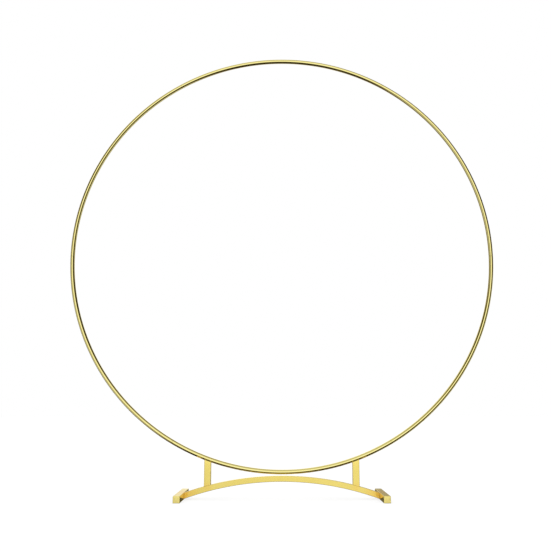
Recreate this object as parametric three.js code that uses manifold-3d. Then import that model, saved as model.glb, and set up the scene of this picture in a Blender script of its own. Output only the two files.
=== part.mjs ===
// A floor-standing hoop that carries flowers, greenery or a backdrop: a knock-down ring of round tube
// that plugs into two short square posts, on an arched bar with a cross foot at each end.
// Millimetres, +Z up. The origin is on the floor under the middle of the hoop, and the front faces -Y.
// "Left" is -X and "right" is +X, as seen from the front.

import * as THREE from 'three';
import { mergeVertices } from 'three/addons/utils/BufferGeometryUtils.js';
import Module from 'manifold-3d';

const wasm = await Module();
wasm.setup();

// Driving dimensions: the hoop.
const hoopDiameter = 2000;
const hoopTube = 20;
const hoopWall = 1.2;
const hoopClearance = 107;
const segmentCount = 6;
const segmentSteps = 18;
const tubeSides = 12;
const seam = 0.5;
const ferruleFit = 0.4;
const ferruleWall = 1.5;
const ferruleScrewOffset = 25;

// Driving dimensions: the base.
const baseWidth = 930;
const footTube = 30;
const footLength = 300;
const tubeWall = 1.5;
const cornerRadius = 2.5;
const postTube = 30;
const postSpacing = 665;
const archDepth = 30;
const archHeight = 25;
const archTopRadius = 1345;
const archCrown = 101;
const archSteps = 20;
const archPlugLength = 18;
const capFlange = 3;
const capPlug = 14;
const footBoltSpacing = 14;

// Driving dimensions: the sockets that hold the hoop.
const stubTube = 26;
const stubDepth = 60;
const saddleDepth = 2.5;
const lockScrewDrop = 30;

// Gap left between pieces that touch or are threaded together, and how far a cutter runs past a face.
const touch = 0.3;
const overrun = 1;

// How finely the round shapes are cut.
const rodSides = 16;
const screwSides = 12;
const cutterSides = 24;
const cutterSteps = 4;

// Worked out from the driving dimensions.
const hoopRadius = (hoopDiameter - hoopTube) / 2;
const hoopHeight = hoopClearance + hoopDiameter / 2;
const footX = (baseWidth - footTube) / 2;
const footInnerFace = baseWidth / 2 - footTube;
const postX = postSpacing / 2;
const archHalfLength = footInnerFace - touch;
const fullTurn = 2 * Math.PI;
const quarterTurn = Math.PI / 2;
const segmentAngle = fullTurn / segmentCount;

// Finishes.
function finish(name, color, roughness, metalness) {
  return new THREE.MeshStandardMaterial({ name, color, roughness, metalness });
}

function hoopGold() {
  return finish('hoop_gold', 0xe6d795, 0.16, 1);
}

function baseGold() {
  return finish('base_gold', 0xebd673, 0.14, 1);
}

function zincSteel() {
  return finish('zinc_steel', 0xc9cbc8, 0.34, 1);
}

function goldPlastic() {
  return finish('gold_plastic', 0xe8d47c, 0.28, 0.6);
}

// Booleans: a geometry becomes a solid, is joined or cut, and comes back as a geometry.
function toSolid(geometry) {
  const bare = geometry.clone();
  bare.deleteAttribute('normal');
  bare.deleteAttribute('uv');
  const merged = mergeVertices(bare, 1e-3);
  const corners = merged.index.array;
  const kept = [];
  for (let i = 0; i < corners.length; i += 3) {
    const [a, b, c] = corners.slice(i, i + 3);
    if (a !== b && b !== c && c !== a) {
      kept.push(a, b, c);
    }
  }
  const vertProperties = new Float32Array(merged.attributes.position.array);
  return new wasm.Manifold(new wasm.Mesh({ numProp: 3, vertProperties, triVerts: new Uint32Array(kept) }));
}

function toGeometry(solid) {
  const mesh = solid.getMesh();
  const geometry = new THREE.BufferGeometry();
  geometry.setAttribute('position', new THREE.BufferAttribute(mesh.vertProperties, 3));
  geometry.setIndex(new THREE.BufferAttribute(mesh.triVerts, 1));
  return geometry;
}

function cut(body, ...tools) {
  return toGeometry(tools.reduce((solid, tool) => solid.subtract(toSolid(tool)), toSolid(body)));
}

function join(...bodies) {
  return toGeometry(bodies.map(toSolid).reduce((solid, next) => solid.add(next)));
}

// Sections.
function polygon(radius, sides) {
  const points = [];
  for (let i = 0; i < sides; i += 1) {
    const angle = fullTurn * i / sides;
    points.push(new THREE.Vector2(radius * Math.cos(angle), radius * Math.sin(angle)));
  }
  return points;
}

function roundTubeSection(radius, wall) {
  const shape = new THREE.Shape(polygon(radius, tubeSides));
  shape.holes.push(new THREE.Path(polygon(radius - wall, tubeSides)));
  return shape;
}

// A rectangle with rounded corners, traced anticlockwise from its lower right corner.
function traceRectangle(path, width, height, radius) {
  const x = width / 2 - radius;
  const y = height / 2 - radius;
  path.absarc(x, -y, radius, -quarterTurn, 0, false);
  path.absarc(x, y, radius, 0, quarterTurn, false);
  path.absarc(-x, y, radius, quarterTurn, 2 * quarterTurn, false);
  path.absarc(-x, -y, radius, 2 * quarterTurn, 3 * quarterTurn, false);
  path.closePath();
  return path;
}

function blockSection(width, height, radius) {
  return traceRectangle(new THREE.Shape(), width, height, radius);
}

function boxTubeSection(width, height, wall, radius) {
  const shape = blockSection(width, height, radius);
  const bore = new THREE.Path();
  shape.holes.push(traceRectangle(bore, width - 2 * wall, height - 2 * wall, radius - wall));
  return shape;
}

function extrude(section, length, steps = 1) {
  return new THREE.ExtrudeGeometry(section, { depth: length, steps, bevelEnabled: false, curveSegments: 1 });
}

// A round rod or drill along +Y from the height "from" to the height "to".
function rod(radius, from, to, sides = rodSides) {
  return new THREE.CylinderGeometry(radius, radius, to - from, sides).translate(0, (from + to) / 2, 0);
}

// The hoop's centreline about its own centre. Angles start at the lowest point and grow towards +X.
function hoopPoint(angle, target = new THREE.Vector3()) {
  return target.set(hoopRadius * Math.sin(angle), 0, -hoopRadius * Math.cos(angle));
}

class HoopArc extends THREE.Curve {
  constructor(from, to) {
    super();
    this.from = from;
    this.to = to;
  }

  getPoint(t, target) {
    return hoopPoint(THREE.MathUtils.lerp(this.from, this.to, t), target);
  }
}

function sweep(section, arc, steps) {
  return new THREE.ExtrudeGeometry(section, { extrudePath: arc, steps, bevelEnabled: false });
}

// Height and slope of the hoop's underside where it crosses a post.
const hoopRise = Math.sqrt((hoopDiameter / 2) ** 2 - postX ** 2);
const hoopAtPost = hoopHeight - hoopRise;
const hoopSlope = postX / hoopRise;

// Heights of the arched bar's top and bottom faces.
function archTop(x) {
  return archCrown - archTopRadius + Math.sqrt(archTopRadius ** 2 - x ** 2);
}

function archBottom(x) {
  const radius = archTopRadius - archHeight;
  return archCrown - archTopRadius + Math.sqrt(radius ** 2 - x ** 2);
}

// Slope of the arched bar's top where it crosses a post.
const archSlope = postX / Math.sqrt(archTopRadius ** 2 - postX ** 2);

// Moves each point of a geometry by a function that edits the vector it is given.
function reshape(geometry, edit) {
  const position = geometry.attributes.position;
  const point = new THREE.Vector3();
  for (let i = 0; i < position.count; i += 1) {
    edit(point.fromBufferAttribute(position, i));
    position.setXYZ(i, point.x, point.y, point.z);
  }
  return geometry;
}

// A stretch of bar between two x positions that follows the arch, with upright ends. Its section is
// "inset" smaller than the bar on every side.
function archedBar(section, from, to, steps, inset) {
  const sectionHeight = archHeight - 2 * inset;
  return reshape(extrude(section, to - from, steps), (point) => {
    const across = point.x;
    const share = point.y / sectionHeight + 0.5;
    const x = from + point.z;
    const low = archBottom(x) + inset;
    const high = archTop(x) - inset;
    point.set(x, across, THREE.MathUtils.lerp(low, high, share));
  });
}

// An upright square tube at the side "side" whose ends follow the hoop above and the arch below.
function slantedTube(section, side, bottomAt, topAt) {
  return reshape(extrude(section, 1), (point) => {
    const x = side * postX + point.x;
    point.set(x, point.y, point.z === 0 ? bottomAt(x) : topAt(x));
  });
}

// The stretch of the hoop above one post, grown by the touching gap, which hollows the post's top.
function hoopCutter(side) {
  const middle = side * Math.asin(postX / hoopRadius);
  const half = postTube / hoopRadius;
  const section = new THREE.Shape(polygon(hoopTube / 2 + touch, cutterSides));
  const arc = new HoopArc(middle - half, middle + half);
  return sweep(section, arc, cutterSteps).translate(0, 0, hoopHeight);
}

// A screw along +Y: its domed head stands above y = 0 and its shank reaches below. The head's rim is
// upright for "rim" of its height, and its top is flat for "flat" of its radius.
function screwProfile({ shank, length, head, headHeight }) {
  const rim = 0.3;
  const flat = 0.6;
  const profile = new THREE.Path();
  profile.moveTo(0, -length);
  profile.lineTo(shank, -length);
  profile.lineTo(shank, 0);
  profile.lineTo(head, 0);
  profile.lineTo(head, headHeight * rim);
  profile.quadraticCurveTo(head, headHeight, head * flat, headHeight);
  profile.lineTo(0, headHeight);
  return profile.getPoints(2);
}

// A button-head screw with a hexagon socket. The socket's size is given as shares of the head's.
function socketScrew(size) {
  const socketRadius = 0.42 * size.head;
  const socketFloor = 0.35 * size.headHeight;
  const blank = new THREE.LatheGeometry(screwProfile(size), screwSides);
  return cut(blank, rod(socketRadius, socketFloor, size.headHeight + overrun, 6));
}

// The hoop's parts. Joint number n lies at the end of segment n.
const segmentNames = ['bottom', 'lower_right', 'upper_right', 'top', 'upper_left', 'lower_left'];
const hoopScrew = { shank: 2, length: 5.5, head: 3.8, headHeight: 2.2 };
const hoopScrewDrillDepth = hoopScrew.length + 2;

function jointAngle(index) {
  return (index + 0.5) * segmentAngle;
}

// The screw at a joint holds the start of the next segment to the ferrule, from behind.
function placeHoopScrew(geometry, index) {
  const point = hoopPoint(jointAngle(index) + ferruleScrewOffset / hoopRadius);
  return geometry.translate(point.x, hoopTube / 2 + touch, point.z);
}

function hoopScrewDrill(index) {
  const drill = rod(hoopScrew.shank + touch, -hoopScrewDrillDepth, overrun, screwSides);
  return placeHoopScrew(drill, index);
}

function hoopSegment(index) {
  const halfSeam = seam / 2 / hoopRadius;
  const arc = new HoopArc(jointAngle(index - 1) + halfSeam, jointAngle(index) - halfSeam);
  const tube = sweep(roundTubeSection(hoopTube / 2, hoopWall), arc, segmentSteps);
  return cut(tube, hoopScrewDrill(index - 1));
}

// The ferrule reaches one step of its segments' curve either side of the joint, so its facets match theirs.
function hoopFerrule(index) {
  const reach = segmentAngle / segmentSteps;
  const arc = new HoopArc(jointAngle(index) - reach, jointAngle(index) + reach);
  const radius = hoopTube / 2 - hoopWall - ferruleFit;
  return cut(sweep(roundTubeSection(radius, ferruleWall), arc, 2), hoopScrewDrill(index));
}

function hoopJointScrew(index) {
  return placeHoopScrew(socketScrew(hoopScrew), index);
}

// The posts, and the stubs under the hoop that plug into them. Both ends of a post are cut to a slope,
// along the hoop's underside and the arched bar's top where they cross the post's middle.
function hoopUnderside(side, lift) {
  return (x) => hoopAtPost + side * hoopSlope * (x - side * postX) + lift;
}

function archSurface(side, lift) {
  return (x) => archTop(postX) - side * archSlope * (x - side * postX) + lift;
}

const lockScrewHeight = hoopAtPost - lockScrewDrop;
const lockScrewRadius = 3;
const lockNut = { acrossCorners: 11.5, height: 5 };
const lockHub = { radius: 5.5, height: 9 };

function placeOnPostBack(geometry, side) {
  return geometry.translate(side * postX, postTube / 2, lockScrewHeight);
}

function post(side) {
  const section = boxTubeSection(postTube, postTube, tubeWall, cornerRadius);
  const blank = slantedTube(section, side, archSurface(side, touch), hoopUnderside(side, saddleDepth));
  const drill = placeOnPostBack(rod(lockScrewRadius + touch, -tubeWall - overrun, overrun), side);
  return cut(blank, hoopCutter(side), drill);
}

function hoopStub(side) {
  const section = boxTubeSection(stubTube, stubTube, tubeWall, cornerRadius);
  const bottomAt = () => hoopAtPost - stubDepth;
  const blank = slantedTube(section, side, bottomAt, hoopUnderside(side, saddleDepth - touch));
  return cut(blank, hoopCutter(side));
}

function lockNutBody(side) {
  const top = touch + lockNut.height;
  const blank = rod(lockNut.acrossCorners / 2, touch, top, 6);
  const thread = rod(lockScrewRadius + touch, touch - overrun, top + overrun);
  return placeOnPostBack(cut(blank, thread), side);
}

// One wing of a wing screw: it sweeps up from low on the hub to a round tip "span" from the axis.
function wing(direction) {
  const span = 15.5;
  const tipRadius = 3.5;
  const tipHeight = 8.5;
  const rootLow = 1;
  const rootHigh = 8;
  const thickness = 3;
  const tipX = span - tipRadius;
  const outline = new THREE.Shape();
  outline.moveTo(0, rootLow);
  outline.lineTo(lockHub.radius, rootLow);
  outline.quadraticCurveTo(tipX - tipRadius, tipHeight - tipRadius, tipX, tipHeight - tipRadius);
  outline.absarc(tipX, tipHeight, tipRadius, -quarterTurn, quarterTurn, false);
  outline.quadraticCurveTo(lockHub.radius, tipHeight + tipRadius, 0, rootHigh);
  outline.closePath();
  const blade = new THREE.ExtrudeGeometry(outline, {
    depth: thickness,
    bevelEnabled: false,
    curveSegments: 3,
  });
  return blade.translate(0, 0, -thickness / 2).rotateY(direction * quarterTurn);
}

// A wing screw whose tip presses on the stub inside the post.
function lockScrew(side) {
  const seat = 2 * touch + lockNut.height;
  const profile = screwProfile({
    shank: lockScrewRadius,
    length: seat + (postTube - stubTube) / 2 - touch,
    head: lockHub.radius,
    headHeight: lockHub.height,
  });
  const hub = new THREE.LatheGeometry(profile, rodSides);
  return placeOnPostBack(join(hub, wing(1), wing(-1)).translate(0, seat, 0), side);
}

// The arched bar and the threaded plug in each of its ends.
function archBar() {
  const section = boxTubeSection(archDepth, archHeight, tubeWall, cornerRadius);
  return archedBar(section, -archHalfLength, archHalfLength, archSteps, 0);
}

// Each bolt stops a little short of the plug's inner end.
const footBolt = { shank: 3, length: footTube + archPlugLength - 2, head: 5.4, headHeight: 3.3 };

function placeFootBolt(geometry, side, y) {
  const outerFace = side * (baseWidth / 2 + touch);
  return geometry.rotateZ(-side * quarterTurn).translate(outerFace, y, footTube / 2);
}

// Two drills, each as long as the bolts' whole way through the foot and the plug.
function footBoltDrills(side) {
  const depth = footTube + archPlugLength + 3 * overrun;
  return [-footBoltSpacing / 2, footBoltSpacing / 2].map((y) => {
    return placeFootBolt(rod(footBolt.shank + touch, -depth, overrun), side, y);
  });
}

function archPlug(side) {
  const inset = tubeWall + 2 * touch;
  const section = blockSection(archDepth - 2 * inset, archHeight - 2 * inset, cornerRadius);
  const ends = [side * archHalfLength, side * (archHalfLength - archPlugLength)];
  const blank = archedBar(section, Math.min(...ends), Math.max(...ends), 1, inset);
  return cut(blank, ...footBoltDrills(side));
}

function footBoltBody(side, end) {
  return placeFootBolt(socketScrew(footBolt), side, end * footBoltSpacing / 2);
}

// A cross foot: a square tube from front to back, closed by a push-in cap at each end.
function foot(side) {
  const section = boxTubeSection(footTube, footTube, tubeWall, cornerRadius);
  const tube = extrude(section, footLength).translate(0, 0, -footLength / 2).rotateX(-quarterTurn);
  return cut(tube.translate(side * footX, 0, footTube / 2), ...footBoltDrills(side));
}

// The cap's flange covers the tube's end, and its ribbed plug goes inside. "end" is -1 at the front.
function footCap(side, end) {
  const bevel = 0.8;
  const faceWidth = footTube - 2 * bevel;
  const flange = new THREE.ExtrudeGeometry(blockSection(faceWidth, faceWidth, cornerRadius - bevel), {
    depth: capFlange - 2 * bevel,
    bevelThickness: bevel,
    bevelSize: bevel,
    bevelSegments: 1,
    curveSegments: 1,
  }).translate(0, 0, bevel);
  const ribWidth = footTube - 2 * tubeWall - 2 * touch;
  const ribHeight = 2.2;
  const ribThickness = 1.2;
  const plugWidth = ribWidth - 2 * ribHeight;
  const plugCorner = 1;
  const plug = extrude(blockSection(plugWidth, plugWidth, plugCorner), capPlug + overrun);
  const ribs = [0.3, 0.8].map((depthShare) => {
    const rib = extrude(blockSection(ribWidth, ribWidth, plugCorner), ribThickness);
    return rib.translate(0, 0, -capPlug * depthShare);
  });
  const cap = join(flange, plug.translate(0, 0, -capPlug), ...ribs).rotateX(-end * quarterTurn);
  return cap.translate(side * footX, end * (footLength / 2 + touch), footTube / 2);
}

// Assembly.
function place(parent, name, geometry, material) {
  const mesh = new THREE.Mesh(geometry, material);
  mesh.name = name;
  parent.add(mesh);
}

const sides = [['left', -1], ['right', 1]];
const ends = [['front', -1], ['back', 1]];

function buildBase() {
  const base = new THREE.Group();
  place(base, 'arch_bar', archBar(), baseGold());
  for (const [sideName, side] of sides) {
    place(base, `post_${sideName}`, post(side), baseGold());
    place(base, `post_nut_${sideName}`, lockNutBody(side), baseGold());
    place(base, `foot_${sideName}`, foot(side), baseGold());
    place(base, `arch_plug_${sideName}`, archPlug(side), zincSteel());
    for (const [endName, end] of ends) {
      place(base, `foot_cap_${sideName}_${endName}`, footCap(side, end), goldPlastic());
      place(base, `foot_bolt_${sideName}_${endName}`, footBoltBody(side, end), zincSteel());
    }
  }
  return base;
}

function buildHoop() {
  const hoop = new THREE.Group();
  hoop.position.z = hoopHeight;
  segmentNames.forEach((name, index) => {
    place(hoop, `hoop_segment_${name}`, hoopSegment(index), hoopGold());
    place(hoop, `hoop_ferrule_${index + 1}`, hoopFerrule(index), zincSteel());
    place(hoop, `hoop_screw_${index + 1}`, hoopJointScrew(index), zincSteel());
  });
  return hoop;
}

function buildSocketParts() {
  const parts = new THREE.Group();
  for (const [sideName, side] of sides) {
    place(parts, `hoop_stub_${sideName}`, hoopStub(side), hoopGold());
    place(parts, `lock_screw_${sideName}`, lockScrew(side), zincSteel());
  }
  return parts;
}

const wreathFrame = new THREE.Group();
wreathFrame.add(buildBase(), buildHoop(), buildSocketParts());

export default wreathFrame;
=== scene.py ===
"""Studio picture of a floor-standing gold hoop for flowers or a backdrop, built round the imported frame."""
import math

import bpy
from mathutils import Matrix, Vector


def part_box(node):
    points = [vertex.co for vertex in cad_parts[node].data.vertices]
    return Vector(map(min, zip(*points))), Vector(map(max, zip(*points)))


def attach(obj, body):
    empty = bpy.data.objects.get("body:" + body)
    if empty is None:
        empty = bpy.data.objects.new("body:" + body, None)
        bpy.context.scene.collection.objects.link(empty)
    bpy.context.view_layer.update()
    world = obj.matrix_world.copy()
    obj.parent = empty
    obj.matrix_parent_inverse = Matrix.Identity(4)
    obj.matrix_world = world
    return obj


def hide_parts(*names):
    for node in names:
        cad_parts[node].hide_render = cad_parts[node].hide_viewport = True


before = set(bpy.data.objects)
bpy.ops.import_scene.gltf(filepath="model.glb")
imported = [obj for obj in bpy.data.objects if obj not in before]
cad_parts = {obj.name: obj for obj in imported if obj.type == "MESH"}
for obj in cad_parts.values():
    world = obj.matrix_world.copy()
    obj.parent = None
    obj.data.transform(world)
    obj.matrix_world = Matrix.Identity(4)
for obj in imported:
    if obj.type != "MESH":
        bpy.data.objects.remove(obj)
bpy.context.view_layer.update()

MM = 0.001
SIDES = (("left", -1), ("right", 1))
ENDS = (("front", -1), ("back", 1))
SEGMENTS = ("bottom", "lower_right", "upper_right", "top", "upper_left", "lower_left")
FULL_TURN = 2 * math.pi
QUARTER_TURN = math.pi / 2
SEGMENT_ANGLE = FULL_TURN / len(SEGMENTS)


# ---------------------------------------------------------------- sizes, from the frame

def size_of(node):
    low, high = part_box(node)
    return high - low


def middle_of(node):
    low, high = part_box(node)
    return (low + high) / 2


# The hoop: a circle in the XZ plane. Angles start at its lowest point and grow towards +X.
TUBE_RADIUS = size_of("hoop_segment_top").y / 2
HOOP_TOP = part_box("hoop_segment_top")[1].z
HOOP_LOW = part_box("hoop_segment_bottom")[0].z
HOOP_HEIGHT = (HOOP_TOP + HOOP_LOW) / 2
HOOP_RADIUS = (HOOP_TOP - HOOP_LOW) / 2 - TUBE_RADIUS
HOOP_WALL = 1.2 * MM
SEGMENT_STEPS = 120

# The seam between two segments, and how far along the hoop its screw is.
SEAM = 0.5 * MM
SCREW_OFFSET = 25 * MM

# The base: square posts and feet, and an arched bar whose top and bottom are arcs round one centre.
POST = size_of("post_right").x
POST_X = middle_of("post_right").x
STUB = size_of("hoop_stub_right").x
FOOT = size_of("foot_right").x
ARCH_LOW, ARCH_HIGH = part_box("arch_bar")
ARCH_DEPTH = ARCH_HIGH.y - ARCH_LOW.y
ARCH_HEIGHT = 25 * MM
ARCH_SAG = ARCH_HIGH.z - ARCH_HEIGHT - ARCH_LOW.z
ARCH_BOTTOM_RADIUS = (ARCH_HIGH.x ** 2 + ARCH_SAG ** 2) / (2 * ARCH_SAG)
ARCH_CENTRE_Z = ARCH_HIGH.z - ARCH_HEIGHT - ARCH_BOTTOM_RADIUS
ARCH_STEPS = 160

# Every square tube: its wall, its outer corners, its tightest inner corners and its deburred edges.
WALL = 1.5 * MM
CORNER = 1.6 * MM
TIGHTEST_CORNER = 0.6 * MM
LIP = 0.3 * MM

# The posts' tops: the hoop lies in a shallow saddle, and front and back are dressed back up to the edge.
SADDLE = 2.5 * MM
SADDLE_GAP = 0.1 * MM
DRESSED_HEIGHT = 7 * MM
DRESSED_BACK = 1.1 * MM

# The posts' feet are let into the bar a little, and other solids that touch keep a gap.
LET_IN = 0.05 * MM
GAP = 0.3 * MM

# Holes for the wing screws and foot bolts, drilled from just outside the tube.
HOLE_RADIUS = 3.3 * MM
DRILL_START = 1 * MM


def arch_bottom(x):
    return ARCH_CENTRE_Z + math.sqrt(ARCH_BOTTOM_RADIUS ** 2 - x ** 2)


def arch_top(x):
    return ARCH_CENTRE_Z + math.sqrt((ARCH_BOTTOM_RADIUS + ARCH_HEIGHT) ** 2 - x ** 2)


def hoop_point(angle):
    return Vector((HOOP_RADIUS * math.sin(angle), 0, HOOP_HEIGHT - HOOP_RADIUS * math.cos(angle)))


def hoop_underside(x, y):
    """Height of the hoop's underside above a point near a post, or None where the tube isn't above it."""
    if abs(y) >= TUBE_RADIUS:
        return None
    axis = HOOP_HEIGHT - math.sqrt(HOOP_RADIUS ** 2 - x ** 2)
    lean = math.sqrt(1 - (x / HOOP_RADIUS) ** 2)
    return axis - math.sqrt(TUBE_RADIUS ** 2 - y ** 2) / lean


def joint_angle(index):
    return (index + 0.5) * SEGMENT_ANGLE


def spread(start, end, steps):
    """Evenly spaced values from the start to the end, both included."""
    return [start + (end - start) * k / steps for k in range(steps + 1)]


# Middle, reach and strength of the painted reflection, a deeper gold, at the right-hand joints of the base:
# bar to foot, and post to bar, where the faces mirror each other. The left-hand ones mirror them. It is even
# up to a quarter of its reach, and then fades.
PAINTED_REFLECTION_SPOTS = (
    ((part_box("foot_right")[0].x, 0, 0.6 * FOOT), 80 * MM, 0.65),
    ((POST_X, POST / 2, arch_top(POST_X) - 6 * MM), 26 * MM, 0.30),
)


# ---------------------------------------------------------------- node materials

# A noise seldom leaves this range, so colours and levels are spread over it.
NOISE_LOW = 0.3
NOISE_HIGH = 0.7


def new_material(name):
    material = bpy.data.materials.new(name)
    material.use_nodes = True
    nodes = material.node_tree.nodes
    return material, nodes, material.node_tree.links, nodes["Principled BSDF"]


def noise(nodes, links, scale, detail, stretch=(1, 1, 1)):
    """A noise in the object's own coordinates, so it stays on the surface when the piece moves."""
    coordinates = nodes.new("ShaderNodeTexCoord")
    mapping = nodes.new("ShaderNodeMapping")
    mapping.inputs["Scale"].default_value = stretch
    texture = nodes.new("ShaderNodeTexNoise")
    texture.inputs["Scale"].default_value = scale
    texture.inputs["Detail"].default_value = detail
    links.new(coordinates.outputs["Object"], mapping.inputs["Vector"])
    links.new(mapping.outputs["Vector"], texture.inputs["Vector"])
    return texture.outputs["Fac"]


def remap(nodes, links, value, low, high, start=NOISE_LOW, end=NOISE_HIGH):
    """Low where the value is at the start, high where it is at the end, and even between them."""
    node = nodes.new("ShaderNodeMapRange")
    node.inputs["From Min"].default_value = start
    node.inputs["From Max"].default_value = end
    node.inputs["To Min"].default_value = low
    node.inputs["To Max"].default_value = high
    links.new(value, node.inputs["Value"])
    return node.outputs["Result"]


def combine(nodes, links, operation, first, second):
    """The operation on a socket and a second socket or a number."""
    node = nodes.new("ShaderNodeMath")
    node.operation = operation
    links.new(first, node.inputs[0])
    if isinstance(second, (int, float)):
        node.inputs[1].default_value = second
    else:
        links.new(second, node.inputs[1])
    return node.outputs["Value"]


def blend_colours(nodes, links, value, first, second):
    ramp = nodes.new("ShaderNodeValToRGB")
    start, end = ramp.color_ramp.elements
    start.position = NOISE_LOW
    start.color = (*first, 1)
    end.position = NOISE_HIGH
    end.color = (*second, 1)
    links.new(value, ramp.inputs["Fac"])
    return ramp.outputs["Color"]


def mix_colours(nodes, links, share, first, second):
    """The first colour, a socket, turning into the second as the share grows to 1."""
    node = nodes.new("ShaderNodeMixRGB")
    node.inputs["Color2"].default_value = (*second, 1)
    links.new(share, node.inputs["Fac"])
    links.new(first, node.inputs["Color1"])
    return node.outputs["Color"]


def add_bump(nodes, links, shader, value, strength, depth):
    bump = nodes.new("ShaderNodeBump")
    bump.inputs["Strength"].default_value = strength
    bump.inputs["Distance"].default_value = depth
    links.new(value, bump.inputs["Height"])
    links.new(bump.outputs["Normal"], shader.inputs["Normal"])


def painted_reflection_near_joints(nodes, links):
    """The strength of the painted reflection, a deeper gold: most at the joints of the base, and 0 away from
    them.
    """
    coordinates = nodes.new("ShaderNodeTexCoord")
    mirrored = nodes.new("ShaderNodeVectorMath")
    mirrored.operation = "ABSOLUTE"
    links.new(coordinates.outputs["Object"], mirrored.inputs[0])
    strongest = None
    for centre, reach, strength in PAINTED_REFLECTION_SPOTS:
        distance = nodes.new("ShaderNodeVectorMath")
        distance.operation = "DISTANCE"
        distance.inputs[1].default_value = centre
        links.new(mirrored.outputs["Vector"], distance.inputs[0])
        spot = remap(nodes, links, distance.outputs["Value"], strength, 0, start=0.25 * reach, end=reach)
        strongest = combine(nodes, links, "MAXIMUM", strongest, spot) if strongest else spot
    return strongest


def plated_gold(name, light, deep, edge, haze, metallic, painted_reflection=None):
    """Polished gold plating: faint changes of tone, polishing haze and the ripple of a buffed tube.

    The optional last colour is a painted reflection: it is mixed in near the joints of the base, where its
    faces mirror each other.
    """
    material, nodes, links, shader = new_material(name)
    shader.inputs["Metallic"].default_value = metallic
    shader.inputs["Specular Tint"].default_value = (*edge, 1)
    tone = noise(nodes, links, scale=9, detail=3)
    colour = blend_colours(nodes, links, tone, deep, light)
    # Painted reflection: a deeper, more orange gold mixed in near the base's joints, standing for the faces
    # mirroring each other.
    if painted_reflection:
        colour = mix_colours(nodes, links, painted_reflection_near_joints(nodes, links), colour, painted_reflection)
    links.new(colour, shader.inputs["Base Color"])
    streaks = noise(nodes, links, scale=60, detail=6, stretch=(1, 1, 0.35))
    links.new(remap(nodes, links, streaks, *haze), shader.inputs["Roughness"])
    ripple = noise(nodes, links, scale=220, detail=2)
    add_bump(nodes, links, shader, ripple, strength=0.05, depth=0.2 * MM)
    return material


def hoop_gold():
    """The bright, pale gold of the hoop."""
    return plated_gold("hoop_gold", light=(0.98, 0.88, 0.36), deep=(0.94, 0.83, 0.315),
                       edge=(0.72, 0.60, 0.25), haze=(0.05, 0.09), metallic=1.0)


def base_gold():
    """The base's gold: warmer and softer, with a little colour of its own in the shade, and a painted
    reflection near its joints.
    """
    return plated_gold("base_gold", light=(0.745, 0.605, 0.165), deep=(0.71, 0.575, 0.148),
                       edge=(1.0, 0.92, 0.62), haze=(0.08, 0.13), metallic=0.88,
                       painted_reflection=(0.77, 0.46, 0.08))


def zinc_steel():
    """Bright zinc plating with its cloudy crystals."""
    material, nodes, links, shader = new_material("zinc_steel")
    shader.inputs["Metallic"].default_value = 1.0
    cloud = noise(nodes, links, scale=500, detail=4)
    colour = blend_colours(nodes, links, cloud, (0.50, 0.52, 0.53), (0.66, 0.67, 0.66))
    links.new(colour, shader.inputs["Base Color"])
    links.new(remap(nodes, links, cloud, low=0.24, high=0.42), shader.inputs["Roughness"])
    add_bump(nodes, links, shader, cloud, strength=0.08, depth=0.05 * MM)
    return material


def cap_gold():
    """Moulded plastic with a sprayed gold metal film: a little softer than the tube's plating."""
    material, nodes, links, shader = new_material("cap_gold")
    shader.inputs["Metallic"].default_value = 0.85
    grain = noise(nodes, links, scale=900, detail=3)
    colour = blend_colours(nodes, links, grain, (0.75, 0.63, 0.20), (0.79, 0.665, 0.22))
    links.new(colour, shader.inputs["Base Color"])
    links.new(remap(nodes, links, grain, low=0.20, high=0.28), shader.inputs["Roughness"])
    add_bump(nodes, links, shader, grain, strength=0.02, depth=0.05 * MM)
    return material


MATERIALS = {
    "hoop_gold": hoop_gold(),
    "base_gold": base_gold(),
    "zinc_steel": zinc_steel(),
    "cap_gold": cap_gold(),
}


# ---------------------------------------------------------------- mesh building

def loft(rings, looped=False):
    """Points and faces of a skin through equal rings of points. Looped, it joins the last to the first."""
    size = len(rings[0])
    points = [point for ring in rings for point in ring]
    faces = []
    spans = len(rings) if looped else len(rings) - 1
    for i in range(spans):
        a = i * size
        b = (i + 1) % len(rings) * size
        for k in range(size):
            n = (k + 1) % size
            faces.append((a + k, a + n, b + n, b + k))
    if not looped:
        for first, flip in ((0, True), ((len(rings) - 1) * size, False)):
            centre = len(points)
            points.append(sum((points[first + k] for k in range(size)), Vector()) / size)
            for k in range(size):
                pair = (first + k, first + (k + 1) % size)
                faces.append((centre, *(reversed(pair) if flip else pair)))
    return points, faces


def make_object(name, points, faces):
    mesh = bpy.data.meshes.new(name)
    mesh.from_pydata([tuple(p) for p in points], [], faces)
    mesh.update()
    obj = bpy.data.objects.new(name, mesh)
    bpy.context.scene.collection.objects.link(obj)
    return obj


def apply_modifiers(obj):
    """Keeps the result of the object's modifiers as its mesh."""
    bpy.context.view_layer.update()
    graph = bpy.context.evaluated_depsgraph_get()
    result = bpy.data.meshes.new_from_object(obj.evaluated_get(graph))
    obj.modifiers.clear()
    obj.data = result


def drill(obj, cutters):
    """Cuts holes with other objects and deletes them."""
    for cutter in cutters:
        modifier = obj.modifiers.new("hole", "BOOLEAN")
        modifier.object = cutter
        modifier.operation = "DIFFERENCE"
        modifier.solver = "EXACT"
    apply_modifiers(obj)
    for cutter in cutters:
        bpy.data.objects.remove(cutter)


def finish_piece(obj, body, slot, nodes=(), crisp_angle=32):
    """Smooth shading with crisp edges, the slot's material, and the piece's place in the frame."""
    mesh = obj.data
    mesh.materials.clear()
    mesh.materials.append(MATERIALS[slot])
    mesh.shade_smooth()
    mesh.set_sharp_from_angle(angle=math.radians(crisp_angle))
    normals = obj.modifiers.new("flat_faces", "WEIGHTED_NORMAL")
    normals.keep_sharp = True
    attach(obj, body)
    if nodes:
        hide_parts(*nodes)


def compass(degrees):
    """The (u, v) direction at an angle, anticlockwise from +u."""
    angle = math.radians(degrees)
    return Vector((math.cos(angle), math.sin(angle)))


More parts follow.
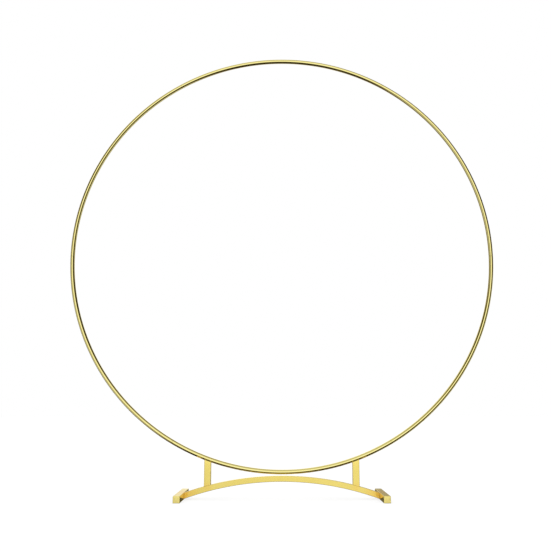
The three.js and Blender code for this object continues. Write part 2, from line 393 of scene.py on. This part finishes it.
def rounded_loop(width, height, radius, corner_steps=6, side_steps=1):
    """(u, v) points round a rectangle with rounded corners, anticlockwise from the lower right."""
    corners = []
    for u_sign, v_sign, start in ((1, -1, -90), (1, 1, 0), (-1, 1, 90), (-1, -1, 180)):
        centre = Vector((u_sign * (width / 2 - radius), v_sign * (height / 2 - radius)))
        turns = spread(start, start + 90, corner_steps)
        corners.append([centre + radius * compass(turn) for turn in turns])
    loop = []
    for corner, onward in zip(corners, corners[1:] + corners[:1]):
        loop += corner
        loop += [corner[-1].lerp(onward[0], k / side_steps) for k in range(1, side_steps)]
    return loop


def box_tube(stations, width, height, place, side_steps=1):
    """A square tube with a hollow bore. place(u, v, station) puts a section point in the frame.

    A lip draws the cut edges in, so that they catch the light. Its length is in the stations' own unit.
    """
    sections = []
    for inset in (0, LIP, WALL - LIP, WALL):
        radius = max(CORNER - inset, TIGHTEST_CORNER)
        sections.append(rounded_loop(width - 2 * inset, height - 2 * inset, radius, side_steps=side_steps))
    outer, outer_lip, inner_lip, bore = sections
    first, last = stations[0], stations[-1]
    body = [first + LIP, *stations[1:-1], last - LIP]
    rings = [[place(*p, first) for p in outer_lip]]
    rings += [[place(*p, s) for p in outer] for s in body]
    rings += [[place(*p, last) for p in outer_lip], [place(*p, last) for p in inner_lip]]
    rings += [[place(*p, s) for p in bore] for s in reversed(body)]
    rings += [[place(*p, first) for p in inner_lip]]
    return loft(rings, looped=True)


def circle(_angle):
    return 1.0


def hexagon(angle):
    """Distance to a hexagon's edge, where its corners are at 1."""
    return math.cos(math.pi / 6) / math.cos(angle % (math.pi / 3) - math.pi / 6)


def turned(profile, sides=48, looped=False):
    """A turned piece round +Y. The profile's rows are (radius, height) or (radius, height, outline)."""
    rings = []
    for radius, height, *outline in profile:
        shape = outline[0] if outline else circle
        ring = []
        for k in range(sides):
            angle = -FULL_TURN * k / sides
            reach = radius * shape(angle)
            ring.append(Vector((reach * math.cos(angle), height, reach * math.sin(angle))))
        rings.append(ring)
    return loft(rings, looped)


def shifted(made, matrix):
    points, faces = made
    return [matrix @ p for p in points], faces


def rod(name, radius, start, end, matrix):
    """A plain cutter along the matrix's +Y."""
    return make_object(name, *shifted(turned([(radius, start), (radius, end)], sides=32), matrix))


# ---------------------------------------------------------------- screws

def button_head(radius, height, key_radius, key_depth):
    """Profile of a domed head from its underside, with a hexagon socket, closed at the bottom of it."""
    ease = 0.2 * MM
    key_ease = 0.15 * MM
    rim_height = 0.32 * height
    dome_radius = 1.25 * key_radius
    dome = []
    for share in spread(0, 1, 8):
        dome.append((radius - (radius - dome_radius) * share,
                     rim_height + (height - rim_height) * math.sin(share * QUARTER_TURN)))
    return [
        (radius - ease, 0),
        (radius, ease),
        *dome,
        (1.06 * key_radius, height, hexagon),
        (key_radius, height - key_ease, hexagon),
        (key_radius, height - key_depth, hexagon),
        (0.4 * key_radius, height - 1.15 * key_depth),
    ]


def screw(name, body, place, shank_radius, shank_length, head):
    """A button-head screw whose head sits on the place and whose shank runs back from it."""
    chamfer = 0.5 * MM
    profile = [(shank_radius - chamfer, -shank_length), (shank_radius, chamfer - shank_length)]
    profile += [(shank_radius, 0)]
    profile += button_head(**head)
    obj = make_object(name, *shifted(turned(profile), place))
    finish_piece(obj, body, "zinc_steel", [name])


def steel_node(name):
    """A node hidden inside the tubes stays as it is in the frame, in plated steel."""
    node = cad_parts[name]
    node.data.materials.clear()
    node.data.materials.append(MATERIALS["zinc_steel"])


# ---------------------------------------------------------------- the hoop

def hoop_ring(angle, radius, sides=40):
    centre = hoop_point(angle)
    outward = Vector((math.sin(angle), 0, -math.cos(angle)))
    depth = Vector((0, 1, 0))
    turns = [FULL_TURN * k / sides for k in range(sides)]
    return [centre + radius * (math.cos(t) * outward + math.sin(t) * depth) for t in turns]


def build_segment(index):
    name = f"hoop_segment_{SEGMENTS[index]}"
    half_seam = SEAM / 2 / HOOP_RADIUS
    lip = LIP / HOOP_RADIUS
    start = joint_angle(index - 1) + half_seam
    end = joint_angle(index) - half_seam
    body = spread(start + lip, end - lip, SEGMENT_STEPS)
    bore = TUBE_RADIUS - HOOP_WALL
    rings = [hoop_ring(start, TUBE_RADIUS - LIP)]
    rings += [hoop_ring(angle, TUBE_RADIUS) for angle in body]
    rings += [hoop_ring(end, TUBE_RADIUS - LIP), hoop_ring(end, bore + LIP)]
    rings += [hoop_ring(angle, bore) for angle in reversed(body)]
    rings += [hoop_ring(start, bore + LIP)]
    obj = make_object(name, *loft(rings, looped=True))
    finish_piece(obj, "hoop", "hoop_gold", [name])


def build_joint(index):
    """The ferrule inside a joint, and the small screw that holds it from the tube's back, just past it."""
    name = f"hoop_screw_{index + 1}"
    angle = joint_angle(index) + SCREW_OFFSET / HOOP_RADIUS
    place = Matrix.Translation(hoop_point(angle) + Vector((0, TUBE_RADIUS, 0)))
    head = {"radius": size_of(name).x / 2, "height": 2.2 * MM,
            "key_radius": 1.45 * MM, "key_depth": 1.3 * MM}
    screw(name, "hoop", place, shank_radius=2 * MM, shank_length=5.2 * MM, head=head)
    steel_node(f"hoop_ferrule_{index + 1}")


# ---------------------------------------------------------------- posts and stubs

def saddle_top(x, y, drop):
    """Top of a post or stub: it slopes as the hoop does, and is hollowed where the hoop lies in it."""
    x_in = min(max(abs(x), POST_X - POST / 2), POST_X + POST / 2)
    rise = math.sqrt((HOOP_RADIUS + TUBE_RADIUS) ** 2 - POST_X ** 2)
    slope = POST_X / rise
    line = HOOP_HEIGHT - rise + slope * (x_in - POST_X) + SADDLE - drop
    under = hoop_underside(x, y)
    return line if under is None else min(line, under - SADDLE_GAP)


def upright(width, side, bottom_at, drop, dressed=0):
    """A square tube standing under the hoop, from bottom_at(x) to "drop" below the saddle's top.

    Its front and back lean in by "dressed" over the last few millimetres.
    """
    def place(u, v, station):
        x = side * POST_X + u
        low = bottom_at(x)
        height = saddle_top(x, v, drop) - low
        below_top = (1 - station) * height
        leaning = v * max(0, 1 - below_top / DRESSED_HEIGHT) * dressed / (width / 2)
        return Vector((x, v - leaning, low + height * station))
    # About where the dressing starts, as a share of a post's height.
    bend = 1 - DRESSED_HEIGHT / (HOOP_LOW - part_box("post_right")[0].z + SADDLE)
    return box_tube([0, 0.5, bend, 1], width, width, place, side_steps=24)


def lock_place(name, side):
    """Where the post's back meets its nut, with +Y pointing out of the back."""
    return Matrix.Translation((side * POST_X, POST / 2, middle_of(f"post_nut_{name}").z))


def build_post(name, side):
    node = f"post_{name}"
    obj = make_object(node, *upright(POST, side, lambda x: arch_top(x) - LET_IN, 0, DRESSED_BACK))
    drill(obj, [rod("drill", HOLE_RADIUS, -2 * WALL, DRILL_START, lock_place(name, side))])
    finish_piece(obj, "base", "base_gold", [node])


def build_stub(name, side):
    node = f"hoop_stub_{name}"
    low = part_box(node)[0].z
    obj = make_object(node, *upright(STUB, side, lambda x: low, GAP))
    finish_piece(obj, "hoop", "hoop_gold", [node])


def build_nut(name, side):
    node = f"post_nut_{name}"
    corner = size_of(node).z / 2
    top = size_of(node).y
    bore = 3.1 * MM
    chamfer = 0.5 * MM
    countersink = 0.4 * MM
    profile = [
        (bore + countersink, 0), (corner, 0, hexagon), (corner, top - chamfer, hexagon),
        (0.93 * corner, top - 0.3 * chamfer, hexagon), (0.84 * corner, top), (bore + chamfer, top),
        (bore, top - chamfer), (bore, countersink),
    ]
    obj = make_object(node, *shifted(turned(profile, looped=True), lock_place(name, side)))
    finish_piece(obj, "base", "base_gold", [node])


def wing_outline():
    """Outline of one wing: x is out from the axis and y along it."""
    lower = [(0, 1), (4, 1), (7, 2.9), (10, 4.4)]
    tip_x, tip_y, tip_radius = 12, 8.5, 3.5
    tip = []
    for turn in spread(0, math.pi, 8):
        tip.append((tip_x + tip_radius * math.sin(turn), tip_y - tip_radius * math.cos(turn)))
    upper = [(9, 11.2), (6, 10.2), (3, 9), (0, 8)]
    return [(x * MM, y * MM) for x, y in lower + tip + upper]


def wing(direction, seat):
    """Points and faces of one wing of a wing screw whose hub starts at the seat."""
    thickness = 3 * MM
    rings = []
    for depth in (-thickness / 2, thickness / 2):
        rings.append([Vector((direction * depth, seat + y, direction * x)) for x, y in wing_outline()])
    return loft(rings)


def build_lock_screw(name, side):
    """A cast wing screw: hub, shank and two wings, melted together and smoothed."""
    node = f"lock_screw_{name}"
    seat = 5.6 * MM
    tip = POST / 2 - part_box(node)[0].y
    shank = 3 * MM
    chamfer = 0.6 * MM
    hub = [(5.3, 0), (5.5, 0.3), (5.4, 4), (4.6, 8), (3.2, 9)]
    profile = [(shank - chamfer, -tip), (shank, chamfer - tip), (shank, seat)]
    profile += [(radius * MM, seat + rise * MM) for radius, rise in hub]
    points, faces = turned(profile, sides=32)
    for direction in (-1, 1):
        wing_points, wing_faces = wing(direction, seat)
        faces += [tuple(i + len(points) for i in face) for face in wing_faces]
        points += wing_points
    obj = make_object(node, *shifted((points, faces), lock_place(name, side)))
    cast = obj.modifiers.new("cast", "REMESH")
    cast.mode = "VOXEL"
    cast.voxel_size = 0.35 * MM
    ease = obj.modifiers.new("ease", "SMOOTH")
    ease.iterations = 6
    ease.factor = 0.5
    apply_modifiers(obj)
    finish_piece(obj, f"lock_screw_{name}", "zinc_steel", [node], crisp_angle=60)


# ---------------------------------------------------------------- the arched bar and the feet

def build_arch():
    """The arched bar, and the threaded plugs hidden in its ends."""
    def place(u, v, station):
        low, high = arch_bottom(station), arch_top(station)
        return Vector((station, u, low + (high - low) * (v / ARCH_HEIGHT + 0.5)))
    stations = spread(ARCH_LOW.x, ARCH_HIGH.x, ARCH_STEPS)
    obj = make_object("arch_bar", *box_tube(stations, ARCH_DEPTH, ARCH_HEIGHT, place))
    finish_piece(obj, "base", "base_gold", ["arch_bar"])
    for name, _ in SIDES:
        steel_node(f"arch_plug_{name}")


def bolt_place(node, side):
    """Where a bolt's head sits on the outer side of its foot, with +Y pointing out."""
    centre = middle_of(node)
    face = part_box("foot_right")[1].x
    turn = Matrix.Rotation(-side * QUARTER_TURN, 4, "Z")
    return Matrix.Translation((side * face, centre.y, centre.z)) @ turn


def build_foot(name, side):
    node = f"foot_{name}"
    low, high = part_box(node)
    centre = (low + high) / 2

    def place(u, v, station):
        return Vector((centre.x - u, station, centre.z + v))
    obj = make_object(node, *box_tube([low.y, 0, high.y], FOOT, FOOT, place))
    holes = []
    for end, _ in ENDS:
        hole_place = bolt_place(f"foot_bolt_{name}_{end}", side)
        holes.append(rod(f"drill_{end}", HOLE_RADIUS, -FOOT - DRILL_START, DRILL_START, hole_place))
    drill(obj, holes)
    finish_piece(obj, "base", "base_gold", [node])


def build_foot_bolt(name, side, end):
    node = f"foot_bolt_{name}_{end}"
    size = size_of(node)
    head = {"radius": size.z / 2, "height": 3.3 * MM,
            "key_radius": 2.3 * MM, "key_depth": 2 * MM}
    shank_length = size.x - head["height"] - GAP
    screw(node, "base", bolt_place(node, side), shank_radius=3 * MM, shank_length=shank_length, head=head)


def cap_rows(length):
    """Width, depth and corner radius of a cap's sections, from the plug's end to its face's middle."""
    bore = FOOT - 2 * WALL
    core = bore - 5 * MM
    rib = bore - 0.6 * MM
    plug_corner = 1.5 * MM
    flange = 3 * MM
    flange_edge = 0.25 * MM
    ease = 1.1 * MM
    crown = 0.25 * MM
    plug = [(core, -length), (core, 2 * MM - length)]
    for start in (3 * MM - length, 9 * MM - length):
        plug += [(core, start), (rib, start + 0.5 * MM), (rib, start + 1.2 * MM), (core, start + 1.4 * MM)]
    plug.append((core, -flange))
    face = [(FOOT - 2 * flange_edge, -flange), (FOOT, flange_edge - flange)]
    for turn in spread(0, QUARTER_TURN, 6):
        inset = ease * (1 - math.cos(turn))
        face.append((FOOT - 2 * inset, ease * math.sin(turn) - ease - crown))
    face += [(0.7 * FOOT, -0.4 * crown), (0.4 * FOOT, -0.1 * crown)]
    rows = [(width, depth, plug_corner) for width, depth in plug]
    rows += [(width, depth, CORNER) for width, depth in face]
    return rows + [(0.15 * FOOT, 0, plug_corner)]


def build_cap(name, end, way):
    """A push-in cap: a softly crowned flange flush with the tube, on a plug with two gripping ribs."""
    node = f"foot_cap_{name}_{end}"
    low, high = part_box(node)
    centre = (low + high) / 2
    face = high.y if way > 0 else low.y
    rings = []
    for width, depth, radius in cap_rows(high.y - low.y):
        loop = rounded_loop(width, width, radius)
        rings.append([Vector((centre.x - way * u, face + way * depth, centre.z + v)) for u, v in loop])
    finish_piece(make_object(node, *loft(rings)), "base", "cap_gold", [node])


def build_weld(name, side, inner):
    """The dressed fillet weld between a post's side wall and the top of the arched bar."""
    corner_x = side * POST_X + inner * POST / 2
    leg = 2.2 * MM
    root = 0.3 * MM
    reach = POST / 2 - 1.5 * MM
    section = [(-root, 0), (-root, leg)]
    for turn in spread(0, QUARTER_TURN, 6):
        section.append((leg - leg * math.cos(turn), leg - leg * math.sin(turn)))
    section.append((leg, -root))
    rings = []
    for y in spread(-reach, reach, 14):
        ring = []
        for u, v in section:
            x = corner_x + inner * u
            ring.append(Vector((x, y, arch_top(x) + v)))
        rings.append(ring)
    if inner > 0:
        rings.reverse()
    weld = f"post_weld_{name}_{'outer' if inner == side else 'inner'}"
    finish_piece(make_object(weld, *loft(rings)), "base", "base_gold")


# ---------------------------------------------------------------- camera, floor and light

# The camera's place in metres, its tilt upwards and angle of view in degrees, and its sideways shift.
CAMERA_PLACE = (0, -3.375, 0.395)
CAMERA_TILT = 10.4
CAMERA_VIEW = 41.46
CAMERA_SHIFT = -0.0114

# The floor's own glow makes it nearly white, so that only a faint shadow shows on it.
FLOOR_EXTENT = 30
FLOOR_SHADE = 0.13
FLOOR_GLOW = 0.76

# What polished metal reflects: soft lights in a dim room. Each has an azimuth, where 0 is the front and
# 90 the right, an elevation, the angles from its middle where it starts to fade and where it has faded
# out, all in degrees, and a strength. A flag has a negative strength and takes light away, and the sum
# is never below 0. A weak level has the room's tint, and the tint is gone at the white level.
ROOM_LIGHT = 0.03
ROOM_TINT = (1.0, 0.77, 0.42)
WHITE_LEVEL = 0.5
SOFT_LIGHTS = {
    "key": (6, 15, 4, 36, 0.65),
    "key_core": (4, 15, 2, 12, 0.06),
    "front_low": (-7, -4, 14, 31, 0.60),
    "ceiling": (5, 60, 6, 44, 0.56),
    "left_wall": (-74, -14, 26, 46, 0.48),
    "left_high": (-134, 56, 6, 45, 0.58),
    "right_wall": (120, -21, 26, 46, 0.54),
    "back": (-178, 28, 20, 40, 0.92),
    "back_low": (-164, -34, 16, 32, 0.10),
    "back_gap": (180, 0, 6, 10, 0.45),
    "right_flag": (172, 8, 2, 9, -0.56),
    "back_floor": (180, -18, 7, 15, 0.30),
    "left_foot_flag": (-171, -7, 1, 5, -0.30),
    "right_foot_flag": (171, -7, 1, 5, -0.30),
}

# The even white light that matt surfaces get from all round, and the white that the camera sees.
FILL_LIGHT = 2.2
BACKDROP = 1.0


def build_camera():
    data = bpy.data.cameras.new("camera")
    data.sensor_width = 36
    data.angle = math.radians(CAMERA_VIEW)
    data.shift_x = CAMERA_SHIFT
    camera = bpy.data.objects.new("camera", data)
    camera.location = CAMERA_PLACE
    camera.rotation_euler = (math.radians(90 + CAMERA_TILT), 0, 0)
    bpy.context.scene.collection.objects.link(camera)
    bpy.context.scene.camera = camera


def build_floor():
    corners = [(x * FLOOR_EXTENT, y * FLOOR_EXTENT, 0) for x, y in ((-1, -1), (1, -1), (1, 1), (-1, 1))]
    floor = make_object("floor", corners, [(0, 1, 2, 3)])
    material, _, _, shader = new_material("pale_floor")
    shader.inputs["Roughness"].default_value = 0.9
    shader.inputs["Specular IOR Level"].default_value = 0
    shader.inputs["Base Color"].default_value = (FLOOR_SHADE, FLOOR_SHADE, FLOOR_SHADE, 1)
    shader.inputs["Emission Color"].default_value = (1, 1, 1, 1)
    shader.inputs["Emission Strength"].default_value = FLOOR_GLOW
    floor.data.materials.append(material)
    floor.visible_glossy = False


def aim(azimuth, elevation):
    a, e = math.radians(azimuth), math.radians(elevation)
    return Vector((math.sin(a) * math.cos(e), -math.cos(a) * math.cos(e), math.sin(e)))


def soft_light(nodes, links, direction, azimuth, elevation, inner, outer, strength):
    """The strength within "inner" of the light's middle, falling to 0 at "outer"."""
    dot = nodes.new("ShaderNodeVectorMath")
    dot.operation = "DOT_PRODUCT"
    links.new(direction, dot.inputs[0])
    dot.inputs[1].default_value = aim(azimuth, elevation)
    fade = nodes.new("ShaderNodeMapRange")
    fade.interpolation_type = "SMOOTHSTEP"
    fade.inputs["From Min"].default_value = math.cos(math.radians(outer))
    fade.inputs["From Max"].default_value = math.cos(math.radians(inner))
    fade.inputs["To Min"].default_value = 0
    fade.inputs["To Max"].default_value = strength
    links.new(dot.outputs["Value"], fade.inputs["Value"])
    return fade.outputs["Result"]


def even_light(nodes, strength):
    node = nodes.new("ShaderNodeBackground")
    node.inputs["Color"].default_value = (1, 1, 1, 1)
    node.inputs["Strength"].default_value = strength
    return node.outputs["Background"]


def tinted_light(nodes, links, level):
    """Light of the level in a socket, with the room's tint where it is weak."""
    tint = nodes.new("ShaderNodeValToRGB")
    weak, strong = tint.color_ramp.elements
    weak.color = (*ROOM_TINT, 1)
    strong.position = WHITE_LEVEL
    node = nodes.new("ShaderNodeBackground")
    links.new(level, tint.inputs["Fac"])
    links.new(tint.outputs["Color"], node.inputs["Color"])
    links.new(level, node.inputs["Strength"])
    return node.outputs["Background"]


def choose(nodes, links, ray, chosen, otherwise):
    node = nodes.new("ShaderNodeMixShader")
    links.new(ray, node.inputs["Fac"])
    links.new(otherwise, node.inputs[1])
    links.new(chosen, node.inputs[2])
    return node.outputs["Shader"]


def build_world():
    """White to the camera, even white light on matt surfaces, and the soft lights in polished ones."""
    world = bpy.data.worlds.new("studio")
    bpy.context.scene.world = world
    world.use_nodes = True
    nodes = world.node_tree.nodes
    links = world.node_tree.links
    nodes.clear()
    direction = nodes.new("ShaderNodeTexCoord").outputs["Generated"]
    lights = [soft_light(nodes, links, direction, *light) for light in SOFT_LIGHTS.values()]
    level = combine(nodes, links, "ADD", lights[0], ROOM_LIGHT)
    for light in lights[1:]:
        level = combine(nodes, links, "ADD", level, light)
    level = combine(nodes, links, "MAXIMUM", level, 0)
    rays = nodes.new("ShaderNodeLightPath").outputs
    reflected = tinted_light(nodes, links, level)
    lit = choose(nodes, links, rays["Is Glossy Ray"], reflected, even_light(nodes, FILL_LIGHT))
    seen = choose(nodes, links, rays["Is Camera Ray"], even_light(nodes, BACKDROP), lit)
    output = nodes.new("ShaderNodeOutputWorld")
    links.new(seen, output.inputs["Surface"])


def build_light():
    """A large soft light high on the left, for the shadow on the floor. Polished metal doesn't show it."""
    data = bpy.data.lights.new("soft_key", "AREA")
    data.shape = "RECTANGLE"
    data.size = 3.0
    data.size_y = 2.0
    data.energy = 15
    place = Vector((-2.2, -2.6, 3.6))
    target = Vector((0, 0, 0.8))
    light = bpy.data.objects.new("soft_key", data)
    light.location = place
    light.rotation_euler = (target - place).to_track_quat("-Z", "Y").to_euler()
    light.visible_glossy = False
    bpy.context.scene.collection.objects.link(light)


# ---------------------------------------------------------------- assembly

build_camera()
for number in range(len(SEGMENTS)):
    build_segment(number)
    build_joint(number)
build_arch()
for side_name, side_sign in SIDES:
    build_post(side_name, side_sign)
    build_stub(side_name, side_sign)
    build_nut(side_name, side_sign)
    build_lock_screw(side_name, side_sign)
    build_foot(side_name, side_sign)
    for end_name, end_sign in ENDS:
        build_foot_bolt(side_name, side_sign, end_name)
        build_cap(side_name, end_name, end_sign)
    build_weld(side_name, side_sign, -1)
    build_weld(side_name, side_sign, 1)
build_floor()
build_world()
build_light()
bpy.context.scene.view_settings.view_transform = "Standard"
